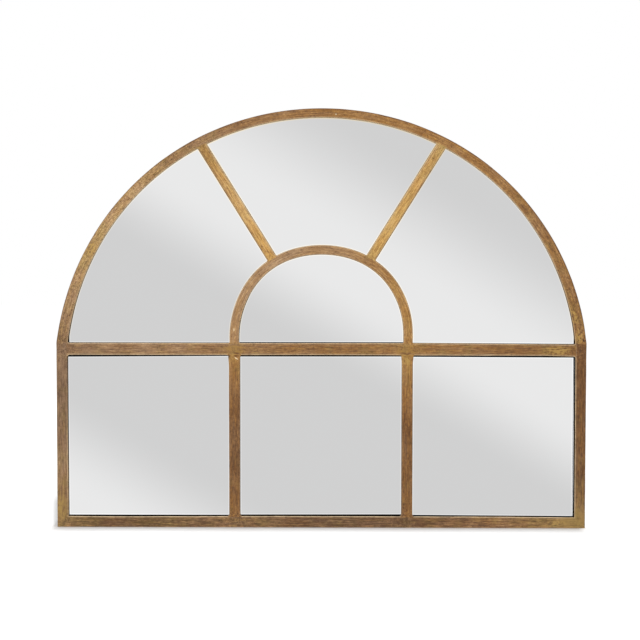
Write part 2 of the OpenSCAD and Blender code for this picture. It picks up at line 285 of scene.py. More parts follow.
def floorPaint(paint):
    # white, with the frame's shadow painted in
    camera = paint.add("LightPath", output="Is Camera Ray")
    parts = paint.add("SeparateXYZ", {"Vector": paint.objectPlace()})
    x, y, _ = (Flow(paint, output) for output in parts.socket.node.outputs)
    end = cadBox[1][0]
    left, front = studio["shadeLeft"], studio["shadeFront"]
    behind = y.largest(0.0)
    fade = y.ramp(*studio["shadeBehind"], 1, 0)

    def rightEnd(drawnIn, start, gone):
        return (x + behind * drawnIn).ramp(end + start, end + gone, 1, 0)
    shade = y.ramp(front - studio["shadeAhead"], front) * fade * x.ramp(-end - left, -end) \
        * rightEnd(*studio["softEnd"])
    # behind the frame the shade widens with the sight line past the frame's left end
    sight = x + behind * studio["shadeSpread"]
    beside = sight.ramp(-end - left, -end - left * studio["shadeWhole"])
    dark = y.ramp(*studio["darkFront"]) * fade * beside * rightEnd(*studio["darkEnd"])
    faint, full = studio["floorLift"]
    lift = full - (shade + dark * studio["darkShare"]).within() * (full - faint)
    grey = studio["floorColour"]
    colour = paint.blend(dark, (grey,) * 3, (grey * studio["shadeDark"],) * 3)
    white = paint.blend(camera * lift, (0, 0, 0), (1, 1, 1), False)
    both = {0: paint.add("BsdfDiffuse", {"Color": colour}), 1: paint.add("Emission", {"Color": white})}
    paint.add("OutputMaterial", {"Surface": paint.add("AddShader", both)})


def buildFloor():
    # level, under the frame's lower edge
    reach, level = studio["floorReach"], studio["floorLevel"]
    mesh = bpy.data.meshes.new("floor")
    corners = [(x * reach, y * reach, level) for x, y in ((-1, -1), (1, -1), (1, 1), (-1, 1))]
    mesh.from_pydata(corners, [], [(0, 1, 2, 3)])
    mesh.materials.append(newMaterial("floor", floorPaint))
    floor = linkToScene(bpy.data.objects.new("floor", mesh))
    floor.visible_glossy = False


buildWorld()
buildFloor()
print("stage: camera, lamps, world and floor")


# brass bars

def box(name):
    low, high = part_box(name)
    return np.array(low), np.array(high)


stileLow, stileHigh = box("right_stile")
transomLow, transomHigh = box("transom")
mullionLow, mullionHigh = box("right_mullion")
lunetteOuter, _, lunetteTop = box("lunette_bar")[1]
railTop = box("bottom_rail")[1][2]
frameTop = box("outer_arch")[1][2]

innerHalf, frontY, _ = stileLow
outerHalf, tubeBackY, springZ = stileHigh
mullionX = (mullionLow[0] + mullionHigh[0]) / 2
transomZ = (transomLow[2] + transomHigh[2]) / 2

# the tube of the outer frame, and the flat bars that are welded into it at both ends
tube = {"backY": tubeBackY, "arris": 0.0016, "joined": False}
flatBar = {"backY": transomHigh[1], "arris": 0.0012, "joined": True}

shape = {
    "crownWidth": 0.0208, "lunetteWidth": 0.0212, "spokeWidth": 0.0224, "spokeLean": 32.0,
    "sink": 0.0024,  # how far a butted end reaches over the next bar's rounded arris
    "fillet": 0.0028,  # weld metal in the inner corners of each joint
    "wander": 0.00022,  # hand-made unevenness of faces and arrises,
    "wanderShare": (1.3, 0.8),  # of the sides and of the faces,
    "sideWaves": (0.03, 0.16), "faceWaves": (0.012, 0.05),  # the lengths of its waves,
    "calmEnd": 0.012,  # and how close to a bar's end it dies away
    "step": 0.0026,  # grid step along a bar
    "rubReach": 0.0014,  # how far lighter rubbing and the painted arris shade run from an arris
    "endGround": 0.022, "crossingGround": 0.03,  # how far ground metal runs from ends and crossings
    "brushShift": 3.1,  # how far apart the bars lie in the brush lines' noise
}


def crownCircle(top, half):
    # the circle through a crown and two points at the spring: radius = (rise^2 + half^2) / (2 rise)
    rise = top - springZ
    radius = (rise * rise + half * half) / (2 * rise)
    return top - radius, radius


outerCentre, outerRadius = crownCircle(frameTop, outerHalf)
innerCentre, innerRadius = crownCircle(frameTop - shape["crownWidth"], innerHalf)
lunetteInner = lunetteOuter - shape["lunetteWidth"]
lunetteZ = lunetteTop - lunetteOuter


# how far the hand-bent bars stray outwards from arcs: millimetres of sin(t), sin(2t) and so on, with t
# the angle from the left foot
bend = {
    "arch": (0.9, -1.1, 1.3, -0.3, -0.6),
    "lunette": (3.4, -1.1, 1.6, -0.3, -1.0),
    "near": (0.03, 0.08),  # the straying is whole this close to a bar's middle, and gone this far off
    "footRise": 0.05,  # it starts over this height above the transom
}


def smooth(values, low, high):
    share = np.clip((values - low) / (high - low), 0, 1)
    return share * share * (3 - 2 * share)


def strayed(x, z):
    # moves places in the plane of the face out or in along the radius of the bent bars near them
    for name, centre, radius in (("arch", outerCentre, (outerRadius + innerRadius) / 2),
                                 ("lunette", lunetteZ, (lunetteOuter + lunetteInner) / 2)):
        reach = np.maximum(np.hypot(x, z - centre), 1e-6)
        turn = np.clip(np.arctan2(z - centre, -x), 0, np.pi)
        out = sum(amount * np.sin((order + 1) * turn) for order, amount in enumerate(bend[name])) / 1000
        out = out * (1 - smooth(np.abs(reach - radius), *bend["near"]))
        out = out * smooth(z, springZ, springZ + bend["footRise"])
        x, z = x + out * x / reach, z + out * (z - centre) / reach
    return x, z


def waves(random, along, across, wavelengths, count=5):
    # a smooth field: the mean of sines whose wavelengths lie between the two given
    total = np.zeros(np.broadcast(along, across).shape)
    for _ in range(count):
        length = random.uniform(*wavelengths)
        tilt = random.uniform(-0.8, 0.8)
        phase = random.uniform(0, 2 * np.pi)
        total = total + np.sin(2 * np.pi * (along + across * (1 + tilt)) / length + phase)
    return total / count


def sectionRing(arris, turns=4):
    # a rounded rectangle, each point as share and inset across, share and inset in depth, and the
    # outward normal (across, depth); shares run from -1 to 1, insets are in metres
    near = (0.0011, 0.0026)  # extra points beside each front arris, which carry its rubbing

    def corner(side, face, quarter):
        # an arc whose normal turns on by a quarter from the quarter turn given
        turned = np.linspace(quarter, quarter + 1, turns + 1) * np.pi / 2
        return [(side, -side * arris * (1 - abs(n)), face, -face * arris * (1 - abs(m)), n, m)
                for n, m in zip(np.cos(turned), np.sin(turned))]

    # the front face, the +1 side, the back and the -1 side
    points = [(-1, arris + extra, -1, 0, 0, -1) for extra in near]
    points += [(share, -share * arris, -1, 0, 0, -1) for share in np.linspace(-0.4, 0.4, 5)]
    points += [(1, -arris - extra, -1, 0, 0, -1) for extra in near[::-1]] + corner(1, -1, -1)
    wall = [(-1, arris + extra) for extra in near] + [(share, -share * arris) for share in (-0.2, 0.3, 0.7)]
    points += [(1, 0, *place, 1, 0) for place in wall] + corner(1, 1, 0)
    points += [(share, -share * arris, 1, 0, 0, 1) for share in (0.5, 0, -0.5)] + corner(-1, 1, 1)
    points += [(-1, 0, *place, -1, 0) for place in wall[::-1]] + corner(-1, -1, 2)
    return np.array(points).T


def closeTube(name, grid, uvAlong, uvRound, values=None, smooth=True, ends=True):
    # quads between the grid's rows, closed round each row, and a flat cap at each end, or with
    # ends=False the last row joins the first; values hold a number per point
    rows, ring = grid.shape[:2]
    i, j = np.meshgrid(np.arange(rows - 1 if ends else rows), np.arange(ring), indexing="ij")
    n = (i + 1) % rows
    k = (j + 1) % ring
    quads = np.stack([i * ring + j, n * ring + j, n * ring + k, i * ring + k], -1).reshape(-1, 4)
    u = np.stack([uvAlong[i], uvAlong[i + 1], uvAlong[i + 1], uvAlong[i]], -1)
    v = np.stack([uvRound[j], uvRound[j], uvRound[j + 1], uvRound[j + 1]], -1)
    uv = [np.stack([u, v], -1).reshape(-1, 4, 2)]
    points = grid.reshape(-1, 3)
    a, b, c, d = ((points - points.mean(0))[quads[:, corner]] for corner in range(4))
    inside = np.einsum("ij,ij->i", a, np.cross(b, c) + np.cross(c, d)).sum() < 0
    faces = quads.tolist()
    if ends:
        first = np.arange(ring)
        faces += [first.tolist(), (first[::-1] + (rows - 1) * ring).tolist()]
        uv.append(np.stack([np.full(ring, uvAlong[0]), uvRound[:-1]], -1))
        uv.append(np.stack([np.full(ring, uvAlong[-1]), uvRound[:-1][::-1]], -1))
    if inside:
        faces = [face[::-1] for face in faces]
        uv = [part[..., ::-1, :] for part in uv]
    mesh = bpy.data.meshes.new(name)
    mesh.from_pydata(points.tolist(), [], faces)
    flatUv = np.concatenate([part.reshape(-1, 2) for part in uv])
    mesh.uv_layers.new(name="along").data.foreach_set("uv", flatUv.astype(np.float32).ravel())
    for key, value in (values or {}).items():
        layer = mesh.attributes.new(key, "FLOAT", "POINT")
        layer.data.foreach_set("value", value.astype(np.float32).ravel())
    mesh.polygons.foreach_set("use_smooth", smooth & (np.arange(len(faces)) < len(quads)))
    mesh.update()
    return linkToScene(bpy.data.objects.new(name, mesh))


def stations(length, step, close=0.006):
    # places along a bar from 0 to 1: even steps, closer together near both ends
    near = np.array([0, 0.0004, 0.0009, 0.0015, 0.0022, 0.003, 0.0042, close]) / length
    middle = np.linspace(close, length - close, max(int((length - 2 * close) / step), 2) + 1) / length
    return np.unique(np.concatenate([near, middle, 1 - near]).round(9))


def spread(values, t):
    # a value at each place along the bar, from one number or from a few evenly spaced ones
    values = np.atleast_1d(values)
    return np.interp(t[:, 0], np.linspace(0, 1, len(values)), values)[:, None]


def lengthRound(loop):
    # the distance at each point of a closed loop, and at its start again
    steps = np.linalg.norm(np.roll(loop, -1, axis=0) - loop, axis=1)
    return np.concatenate([[0], np.cumsum(steps)])


def barWear(look, crossings, t, length, ring, halfWidth, halfDepth, arris, normalAcross):
    # what the paint reads at each point of a bar
    blank = np.zeros((len(t), len(ring)))
    values = {key: spread(look.get(key, 0.0), t) + blank
              for key in ("tone", "dust", "olive", "speckle", "brush")}
    sides = {key: [spread(value, t) for value in look.get(key, (0.0, 0.0))]
             for key in ("grime", "pale", "rub", "soot")}
    # painted shade and painted light lie on the side walls, next to the glass
    wall = (np.abs(normalAcross) > 0.95) & (ring[:, 1] > -halfDepth + arris + 0.0005)
    for key in ("grime", "pale"):
        minus, plus = sides[key]
        values[key] = np.where(normalAcross > 0, plus, minus) * wall
    # rub and the painted arris shade fade away from each arris as exp(-(d / reach)^2), half as strong at the
    # back
    reach = look.get("reach", shape["rubReach"])
    corner = arris * (1 - math.sqrt(0.5))
    for key in ("rub", "soot"):
        total = blank
        for side, strength in zip((-1, 1), sides[key]):
            for face, part in ((-1, 1.0), (1, 0.5)):
                away = np.hypot(ring[:, 0] - side * (halfWidth - corner),
                                ring[:, 1] - face * (halfDepth - corner))
                total = total + strength * part * np.exp(-(away / reach) ** 2)
        values[key] = np.clip(total, 0, 1)
    u = t * length
    ends = sum(np.exp(-((d / shape["endGround"]) ** 2)) for d in (u, length - u))
    middle = sum(np.exp(-((u - at) / shape["crossingGround"]) ** 2) for at in crossings)
    values["ground"] = np.clip(ends + middle, 0, 1) + blank
    return values


def sweepBar(node, name, length, place, half, section, crossings=()):
    # carries the rounded section along a bar: place(t, w) gives x and z at t along and w across;
    # crossings are the distances along it to the middles of the bars that meet it
    look = bars[node]
    arris = section["arris"]
    random = np.random.default_rng(look["seed"])
    t = stations(length, shape["step"])[:, None]
    u = t * length
    share, fromSide, depthShare, fromFace, normalAcross, normalDepth = sectionRing(arris)
    halfWidth = half(t) if callable(half) else np.full_like(t, half)
    side = np.sign(share) * (np.abs(share) > 0.999)
    # weld fillets at joined ends: r - sqrt(r^2 - (r - d)^2)
    fillet = shape["fillet"]
    extra = np.zeros_like(t)
    if section["joined"]:
        for distance in (u, (1 - t) * length):
            gap = np.clip(fillet - np.maximum(distance - shape["sink"], 0), 0, fillet)
            extra = extra + fillet - np.sqrt(fillet ** 2 - gap ** 2)
    for where, sideOf, reach, high in look.get("swells", []):
        extra = extra + high * np.exp(-((u - where * length) / reach) ** 2) * (side * sideOf > 0)
    across = share * halfWidth + fromSide + side * extra
    middleY, halfDepth = (frontY + section["backY"]) / 2, (section["backY"] - frontY) / 2
    y = middleY + depthShare * halfDepth + fromFace + np.zeros_like(t)
    # hand-made unevenness, inwards only and gone at the ends
    calm = smooth(np.clip(np.minimum(t, 1 - t) * length / shape["calmEnd"], 0, 1) ** 2, 0, 1)
    ofSides, ofFaces = shape["wanderShare"]
    sideWave = 0.5 + 0.5 * waves(random, u, side * 0.7, shape["sideWaves"])
    faceWave = 0.5 + 0.5 * waves(random, u, across * 1.4, shape["faceWaves"], 7)
    inward = sideWave * np.abs(normalAcross) * ofSides + faceWave * np.abs(normalDepth) * ofFaces
    inward = shape["wander"] * inward * calm
    for where, off, radius, depth in look.get("hollows", []):
        dent = np.exp(-((u - where * length) ** 2 + (across - off) ** 2) / radius ** 2)
        inward = inward + depth * dent * (normalDepth < -0.3)
    across = across - normalAcross * inward
    y = y - normalDepth * inward
    x, z = strayed(*place(t + np.zeros_like(across), across))
    meanHalf = np.mean(halfWidth)
    ring = np.stack([share * meanHalf + fromSide, depthShare * halfDepth + fromFace], -1)
    values = barWear(look, crossings, t, length, ring, meanHalf, halfDepth, arris, normalAcross)
    uvAlong = u[:, 0] + look["seed"] * shape["brushShift"]
    piece = closeTube(name, np.stack([x, y, z], -1), uvAlong, lengthRound(ring), values)
    piece.data.materials.append(brass)
    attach(piece, "framed_mirror")
    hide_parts(node)


brassLook = {
    # evenly spaced base colours from dark to light for the three tints of the leaf
    "leaf": [(0.115, 0.046, 0.014), (0.22, 0.1, 0.032), (0.365, 0.175, 0.05),
             (0.535, 0.29, 0.085), (0.75, 0.45, 0.14)],
    "dusty": [(0.13, 0.072, 0.04), (0.24, 0.145, 0.082), (0.375, 0.23, 0.13),
              (0.545, 0.36, 0.205), (0.74, 0.52, 0.32)],
    "olive": [(0.12, 0.08, 0.025), (0.225, 0.158, 0.05), (0.355, 0.245, 0.08),
              (0.52, 0.365, 0.13), (0.72, 0.52, 0.2)],
    "umber": (0.06, 0.028, 0.014),
    # painted shade: the dark line on the arrises that face away from the light
    "soot": (0.11, 0.045, 0.022),
    # painted shade: near black on the side walls down in the recess by the glass
    "grime": (0.02, 0.014, 0.01),
    # painted light: pale side walls, as if lit by the mirror beside them
    "pale": (0.95, 0.79, 0.52),
    "rub": (0.7, 0.52, 0.32),
    # small marks: their colour, their strength in the grain's hollows and on its crests, then each
    # one's place as x and z, half width, half height and turn in degrees
    "marks": {
        "gold": ((0.54, 0.34, 0.1), (0.0, 0.75), [
            (0.542, 0.41, 0.042, 0.015, 0), (0.197, 0.386, 0.013, 0.012, 0),
            (-0.525, 0.644, 0.015, 0.024, 35), (-0.601, 0.046, 0.011, 0.03, 0),
            (0.579, 0.49, 0.011, 0.03, -17), (0.593, 0.446, 0.01, 0.02, -9),
            (0.545, 0.012, 0.03, 0.007, 0)]),
        "olive": ((0.37, 0.24, 0.075), (0.25, 0.65), [
            (-0.598, 0.048, 0.022, 0.042, 0), (0.593, 0.02, 0.05, 0.032, 0)]),
        "crossing": ((0.4, 0.225, 0.052), (0.15, 0.65), [
            (-0.199, 0.413, 0.033, 0.019, 0), (0.197, 0.408, 0.03, 0.019, 0)]),
        "smear": ((0.14, 0.055, 0.018), (0.5, 0.95), [
            (-0.1943, 0.4032, 0.0095, 0.0026, 5), (-0.1955, 0.3972, 0.007, 0.0026, 0),
            (0.191, 0.4035, 0.0085, 0.0024, 12), (0.201, 0.4025, 0.007, 0.002, -18)]),
        # painted shade in small dark gaps beside the bars
        "dark": ((0.015, 0.01, 0.008), (0.8, 1.0), [
            (0.602, 0.434, 0.0017, 0.004, 0), (-0.212, 0.396, 0.0016, 0.006, 0)]),
        # painted shade over a small dimple in the crown
        "dimple": ((0.1, 0.04, 0.02), (0.6, 0.6), [(0.0331, 0.9505, 0.0042, 0.0042, 0)]),
        "glint": ((0.95, 0.74, 0.46), (0.9, 1.0), [
            (-0.195, 0.3914, 0.0058, 0.0019, 32), (-0.2005, 0.4575, 0.0016, 0.0045, 0),
            (0.0331, 0.9505, 0.0019, 0.0019, 0), (0.385, 0.4005, 0.018, 0.0006, -3)]),
    },
    "markDepth": 0.004,
}


def brassPaint(paint):
    # worn brass leaf: brushed along the bar, clouded and speckled, rubbed lighter on its arrises, with
    # painted shade on some arrises and side walls and painted light on other side walls
    dust, olive, speckle, ground, pale = (
        paint.attribute(name) for name in ("dust", "olive", "speckle", "ground", "pale"))
    streak = paint.noise(1, 3, 0.6, paint.along(26, 360))
    fine = paint.noise(1, 2, 0.5, paint.along(100, 900))
    tint = paint.noise(1, 2, 0.5, paint.along(12, 190))
    cloud = paint.noise(20, 3, 0.5)
    patch = paint.noise(34, 2, 0.5)
    mottle = paint.noise(150, 3, 0.6)
    grain = paint.noise(480, 2, 0.6)
    brushed = paint.attribute("brush") * (1.0 - ground * 0.6)
    tone = paint.attribute("tone") + (cloud - 0.5) * 0.3 + (streak - 0.5) * brushed * 1.5 \
        + (mottle - 0.5) * (0.45 + speckle * 0.45 + ground * 0.7) + (fine - 0.5) * brushed * 0.9 \
        + (grain - 0.5) * (0.4 + speckle * 0.9 + ground * 0.8)
    dusty = (dust + (tint - 0.5) * 1.1 + (cloud - 0.5) * 0.7).within()
    green = (olive + (patch - 0.5) * 1.3 + (0.5 - tint) * 0.7 - 0.16).within()
    leafed, dusted, greened = (paint.tinted(tone, brassLook[tint]) for tint in ("leaf", "dusty", "olive"))
    colour = paint.blend(green, paint.blend(dusty, leafed, dusted), greened)
    pits = (mottle + grain * 0.6 - speckle * 0.06).ramp(0.52, 0.64, 0.55, 0)
    rubbed = paint.attribute("rub") * (streak + mottle).ramp(0.7, 1.1, 0.5, 1)
    # painted shade on the arrises, broken up by the grain
    arrisShaded = paint.attribute("soot") * (streak + patch).ramp(0.75, 1.15, 0.95, 0.55)
    # over the leaf: pits, rubbing, the painted arris shade and the painted light on the side walls
    for cover, tint in ((pits, "umber"), (rubbed, "rub"), (arrisShaded, "soot"), (pale, "pale")):
        colour = paint.blend(cover, colour, brassLook[tint])
    for markColour, strength, marks in brassLook["marks"].values():
        cover = 0.0
        for x, z, halfX, halfZ, turn in marks:
            size = (halfX, brassLook["markDepth"], halfZ)
            cover = paint.spot((x, frontY, z), size, math.radians(turn)) + cover
        grained = (mottle + streak).ramp(0.85, 1.15, *strength)
        colour = paint.blend(cover.within() * grained, colour, markColour)
    rough = 0.5 + (mottle - 0.5) * 0.3 - rubbed * 0.1 + pits * 0.15
    height = streak * brushed * 0.5 + fine * 0.25 + mottle * 0.6 + grain * 0.25
    metal = paint.principled(Base_Color=colour, Metallic=(0.55 + tone * 0.2) * (1.0 - pale * 0.7),
                             Roughness=rough, Normal=paint.bump(height, 0.0004, 0.4))
    # painted shade: a matt near-black skin mixed in on the side walls by the glass
    recessShadeSkin = paint.principled(Base_Color=(*brassLook["grime"], 1.0), Roughness=0.9, Specular_IOR_Level=0.0)
    both = paint.add("MixShader", {0: paint.attribute("grime"), 1: metal, 2: recessShadeSkin})
    paint.add("OutputMaterial", {"Surface": both})


brass = newMaterial("antique_brass", brassPaint)

# each bar's tone, which also holds painted light: the left stile and the arch's left side lighter, the right
# stile and the arch's right side darker, as if lit from the left; its shares of dusty and olive tint, of
# speckle and of brush lines; its rub, painted arris shade, painted recess shade and painted wall light on
# its minus side and on its plus side; each a number or a list from start to end. Then reach, how far rub and
# painted arris shade run; hollows as (place, offset, radius, depth); and swells as (place, side, reach,
# height), slimmer where height is negative
bars = {
    "left_stile": {
        "seed": 1, "brush": 0.7, "tone": [0.34, 0.41, 0.31, 0.24, 0.36], "dust": [0.3, 0.9, 1, 1],
        "olive": [0.5, 0.3, 0.2, 0.2], "rub": (0.2, [0.9, 0.9, 0.2, 0.1]), "soot": (0.25, 0),
        "grime": (0, [0.9, 0.9, 0.7]), "swells": [(0.85, 1, 0.22, -0.0008)]},
    "right_stile": {
        "seed": 2, "brush": 0.8, "tone": [0.42, 0.16, 0.21, 0.15, 0.2], "dust": [0.3, 0.1, 0.1],
        "olive": [0.6, 0.1, 0, 0], "rub": (0.9, 0.1), "soot": (0, 0.4), "grime": (1, 0),
        "swells": [(0.2, -1, 0.5, -0.0014)]},
    "bottom_rail": {
        "seed": 3, "brush": 1.15, "dust": [0.3, 0.5, 0.5, 0.5, 0.4, 0.3],
        "tone": [0.26, 0.1, 0.14, 0.22, 0.28, 0.2, 0.09, 0.11, 0.14, 0.24, 0.34, 0.38, 0.46],
        "olive": [0.6, 0.4, 0.5, 0.3, 0.3, 0.2, 0.2, 0.2, 0.3, 0.2, 0.2, 0.5, 0.7],
        "rub": (0.25, 0.9), "grime": (0, 1),
        "swells": [(0.17, 1, 0.19, -0.0011), (0.06, 1, 0.13, -0.001), (0.98, 1, 0.1, -0.0011)]},
    "outer_arch": {
        "seed": 4, "brush": 0.7, "reach": 0.0016,
        "tone": [0.34, 0.64, 0.64, 0.42, 0.42, 0.46, 0.5, 0.46, 0.4, 0.38],
        "dust": [0.7, 0.6, 0.6, 0.1, 0.1, 0.2, 0], "olive": [0.2, 0.5, 0.3, 0, -0.2, 0, 0.2, 0.3],
        "speckle": [0.6, 0.9, 0.8, 0.3, 0.1, 0.1, 0.3, 0.5, 0.7], "rub": (0.5, 0), "soot": (0, 1),
        "pale": ([0, 0.9, 0.9, 0.9, 0.9, 0.9, 0.9, 0], 0),
        "grime": ([0.9, 0.4, 0, 0, 0, 0, 0, 0, 0, 0, 0, 0.4, 0.9], 0),
        "hollows": [(0.5216, 0, 0.0048, 0.0003)]},
    "transom": {
        "seed": 5, "brush": 0.85, "tone": [0.33, 0.47, 0.42, 0.37, 0.49, 0.33, 0.33],
        "dust": [0.8, 0.7, 0.2, 0.2, 0.1, 0.1], "olive": [0.1, 0.1, 0.3, 0.1, 0.3, 0.1, 0.3],
        "rub": (0.8, 0.7), "grime": (1, 0.8), "reach": 0.002,
        "swells": [(0.5, -1, 0.16, -0.0007), (0.6, 1, 0.12, 0.0005), (1, 1, 0.16, -0.002),
                   (1, -1, 0.05, 0.0018)]},
    "left_mullion": {
        "seed": 6, "brush": 0.75, "tone": [0.36, 0.23, 0.21, 0.31, 0.56], "dust": [0.1, 0.2, 0.1],
        "olive": [0.2, 0, 0, 0.3], "rub": (0.3, 0.2), "soot": (0.35, 0.25), "pale": (0.2, 0.2),
        "hollows": [(0.955, 0.003, 0.006, 0.0004)],
        "swells": [(0.985, -1, 0.014, 0.0014), (0.8, -1, 0.15, 0.0007), (0.6, 1, 0.3, -0.0007)]},
    "right_mullion": {
        "seed": 7, "brush": 0.8, "tone": [0.37, 0.25, 0.22, 0.41, 0.6], "dust": [0.1, 0.1, 0],
        "olive": [0.2, 0, 0, 0.4], "rub": (0.3, 0.2), "soot": (0.25, 0.35), "pale": (0.2, 0.2),
        "swells": [(0.985, 1, 0.012, 0.0014), (0.985, -1, 0.012, 0.0012), (0.7, 1, 0.3, -0.0008)]},
    "lunette_bar": {
        "seed": 8, "brush": 0.85, "tone": [0.52, 0.56, 0.61, 0.54, 0.57, 0.65, 0.55],
        "dust": [0.4, 0.7, 0.8, 0.5, 0.2, 0], "olive": [0.1, 0, 0, 0.1, 0.2],
        "rub": (0.4, 0.5), "pale": (0.7, 0.8), "hollows": [(0.022, -0.003, 0.005, 0.0004)]},
    "left_spoke": {
        "seed": 9, "brush": 1.1, "reach": 0.003, "tone": [0.78, 0.88, 0.78, 0.54],
        "dust": [0, 0.2, 0], "olive": [0.2, 0.3, 0.5],
        "rub": (0.2, 0.6), "soot": (0.6, 0), "pale": (0.3, 0.9)},
    "right_spoke": {
        "seed": 10, "brush": 1.05, "reach": 0.0026, "tone": [0.78, 0.88, 0.76, 0.68],
        "olive": [0.4, 0.4, 0.3, 0.7], "rub": (0.5, 0.3), "soot": (0.1, 0.5), "pale": (0.8, 0.6)},
}


def straight(upright, middle, low, high):
    # places along a straight bar whose ends lie at low and high, which are numbers or depend on w
    def place(t, w):
        start, end = (limit(w) if callable(limit) else limit for limit in (low, high))
        along = start + t * (end - start)
        return (middle + w, along) if upright else (along, middle + w)
    return place


def buildStiles():
    # upright tubes; the lower end is cut on the mitre line from the corner to the opening's corner
    half = (outerHalf - innerHalf) / 2
    for name, sign in (("left_stile", -1), ("right_stile", 1)):
        def foot(w, sign=sign):
            return railTop * (half - sign * w) / (2 * half)
        place = straight(True, sign * (outerHalf + innerHalf) / 2, foot, springZ)
        sweepBar(name, name + "_tube", springZ, place, half, tube, [transomZ])


def buildRail():
    # the lower tube, mitred at both ends
    half = railTop / 2

    def end(w):
        return outerHalf - (outerHalf - innerHalf) * (w + half) / (2 * half)
    place = straight(False, half, lambda w: -end(w), end)
    crossings = [outerHalf - mullionX, outerHalf + mullionX]
    sweepBar("bottom_rail", "bottom_rail_tube", 2 * outerHalf, place, half, tube, crossings)


def buildArch():
    # the bent tube lies between two circles, from one stile's top to the other's
    circles = [(centre, radius, math.asin((springZ - centre) / radius))
               for centre, radius in ((outerCentre, outerRadius), (innerCentre, innerRadius))]

    def edges(t):
        for centre, radius, turn in circles:
            a = np.pi - turn - t * (np.pi - 2 * turn)
            yield np.stack([radius * np.cos(a), centre + radius * np.sin(a)])

    def half(t):
        outer, inner = edges(t)
        return np.linalg.norm(outer - inner, axis=0) / 2

    def place(t, w):
        outer, inner = edges(t)
        share = 0.5 + 0.5 * w / half(t)
        return inner + share * (outer - inner)
    length = outerRadius * (np.pi - 2 * circles[0][2])
    sweepBar("outer_arch", "outer_arch_tube", length, place, half, tube)


def buildTransom():
    # level, from stile to stile
    half = (transomHigh[2] - transomLow[2]) / 2
    reach = innerHalf + shape["sink"]
    place = straight(False, transomZ, -reach, reach)
    crossings = [reach - mullionX, reach + mullionX]
    sweepBar("transom", "transom_bar", 2 * reach, place, half, flatBar, crossings)


def buildMullions():
    # upright, from the rail to the transom
    half = (mullionHigh[0] - mullionLow[0]) / 2
    low, high = railTop - shape["sink"], transomLow[2] + shape["sink"]
    for name, x in (("left_mullion", -mullionX), ("right_mullion", mullionX)):
        sweepBar(name, name + "_bar", high - low, straight(True, x, low, high), half, flatBar)


def buildLunette():
    # a straight foot, half a circle and a straight foot
    middle = (lunetteOuter + lunetteInner) / 2
    foot = lunetteZ - springZ + shape["sink"]
    length = 2 * foot + np.pi * middle

    def place(t, w):
        s = t * length
        turn = np.pi - np.clip((s - foot) / middle, 0, np.pi)
        drop = np.where(s < foot, foot - s, np.where(s > length - foot, s - length + foot, 0))
        return (middle + w) * np.cos(turn), lunetteZ + (middle + w) * np.sin(turn) - drop
    sweepBar("lunette_bar", "lunette_arc", length, place, shape["lunetteWidth"] / 2, flatBar)


def buildSpokes():
    # each runs from the lunette's outer circle to the arch's inner circle
    sink, lean = shape["sink"], math.radians(shape["spokeLean"])
    rise = lunetteZ - innerCentre
    for name, sign in (("left_spoke", -1), ("right_spoke", 1)):
        way = np.array([sign * math.sin(lean), math.cos(lean)])
        out = np.array([math.cos(lean), -sign * math.sin(lean)])

        def place(t, w, way=way, out=out):
            start = np.sqrt(lunetteOuter ** 2 - w ** 2) - sink
            root = (rise * way[1]) ** 2 - (w ** 2 + rise ** 2 + 2 * w * rise * out[1] - innerRadius ** 2)
            end = np.sqrt(root) - rise * way[1] + sink
            s = start + t * (end - start)
            return s * way[0] + w * out[0], lunetteZ + s * way[1] + w * out[1]
        span = math.sqrt((rise * way[1]) ** 2 - rise ** 2 + innerRadius ** 2) - rise * way[1] - lunetteOuter
        sweepBar(name, name + "_bar", span + 2 * sink, place, shape["spokeWidth"] / 2, flatBar)


buildStiles()
buildRail()
buildArch()
buildTransom()
buildMullions()
buildLunette()
buildSpokes()
print("stage: brass bars")


# mirror panes

paneLook = {
    "silver": (0.8, 0.801, 0.802),
    "haze": 0.992,  # how bright the silver is where it is hazy
    "groundEdge": (0.1, 0.14, 0.125),
    "backPaint": (0.1, 0.1, 0.11),
    # where the silver ends behind the front face, and the paint before the back face
    "silverDepth": (0.00005, 0.0001), "paintDepth": (0.0002, 0.0001),
    "rim": 0.003,  # width of the paler rim round the silver, a painted highlight along each pane's edge
    "rimSilver": (0.985,) * 3,
    "warmSilver": (0.95, 0.8, 0.55),  # the rim's painted reflection of the brass beside the curved bars,
    "warmHeight": (0.78, 0.92),  # which comes up between these heights
    "arris": 0.0003,  # chamfers round the front and the back
    "creep": 0.00045,  # how far the glass grows into the slim gaps beside the bars
    # a gap's own value goes to edges that face nearly straight to its side, up to a height
    "gapFacing": 0.8, "gapHeight": 0.53,
}

# where the hand-made bars leave other gaps: how far a side's edges grow or draw back, and how far
# corners are moved, as x and z
paneGaps = {
    "pane_lower_left": {
        "left": 0.0003, "bottom": 0.001, "top": -0.0009, "upper left": (-0.0009, -0.0012),
        "upper right": (0, 0.0012), "lower left": (0, -0.0005)},
    "pane_lower_centre": {
        "left": 0.00115, "bottom": -0.0003, "top": -0.0009, "upper right": (0, 0.0006),
        "lower left": (0, -0.0006), "lower right": (0, 0.0008)},
    "pane_lower_right": {
        "left": 0.00115, "right": -0.0008, "bottom": 0.0008, "top": -0.0009,
        "lower right": (0.0005, -0.001), "lower left": (0, 0.0007), "upper right": (0, -0.001)},
    "pane_upper_left": {"bottom": 0.0002},
    "pane_lunette": {"left": -0.0001, "bottom": -0.0007, "lower right": (0, 0.0006)},
    "pane_upper_right": {"bottom": -0.0002, "lower right": (0, -0.0018)},
}
# the way to each side and corner, as x and z
sideWays = {"left": (-1, 0), "right": (1, 0), "bottom": (0, -1), "top": (0, 1)}
cornerWays = {"upper left": (-1, 1), "upper right": (1, 1), "lower left": (-1, -1), "lower right": (1, -1)}


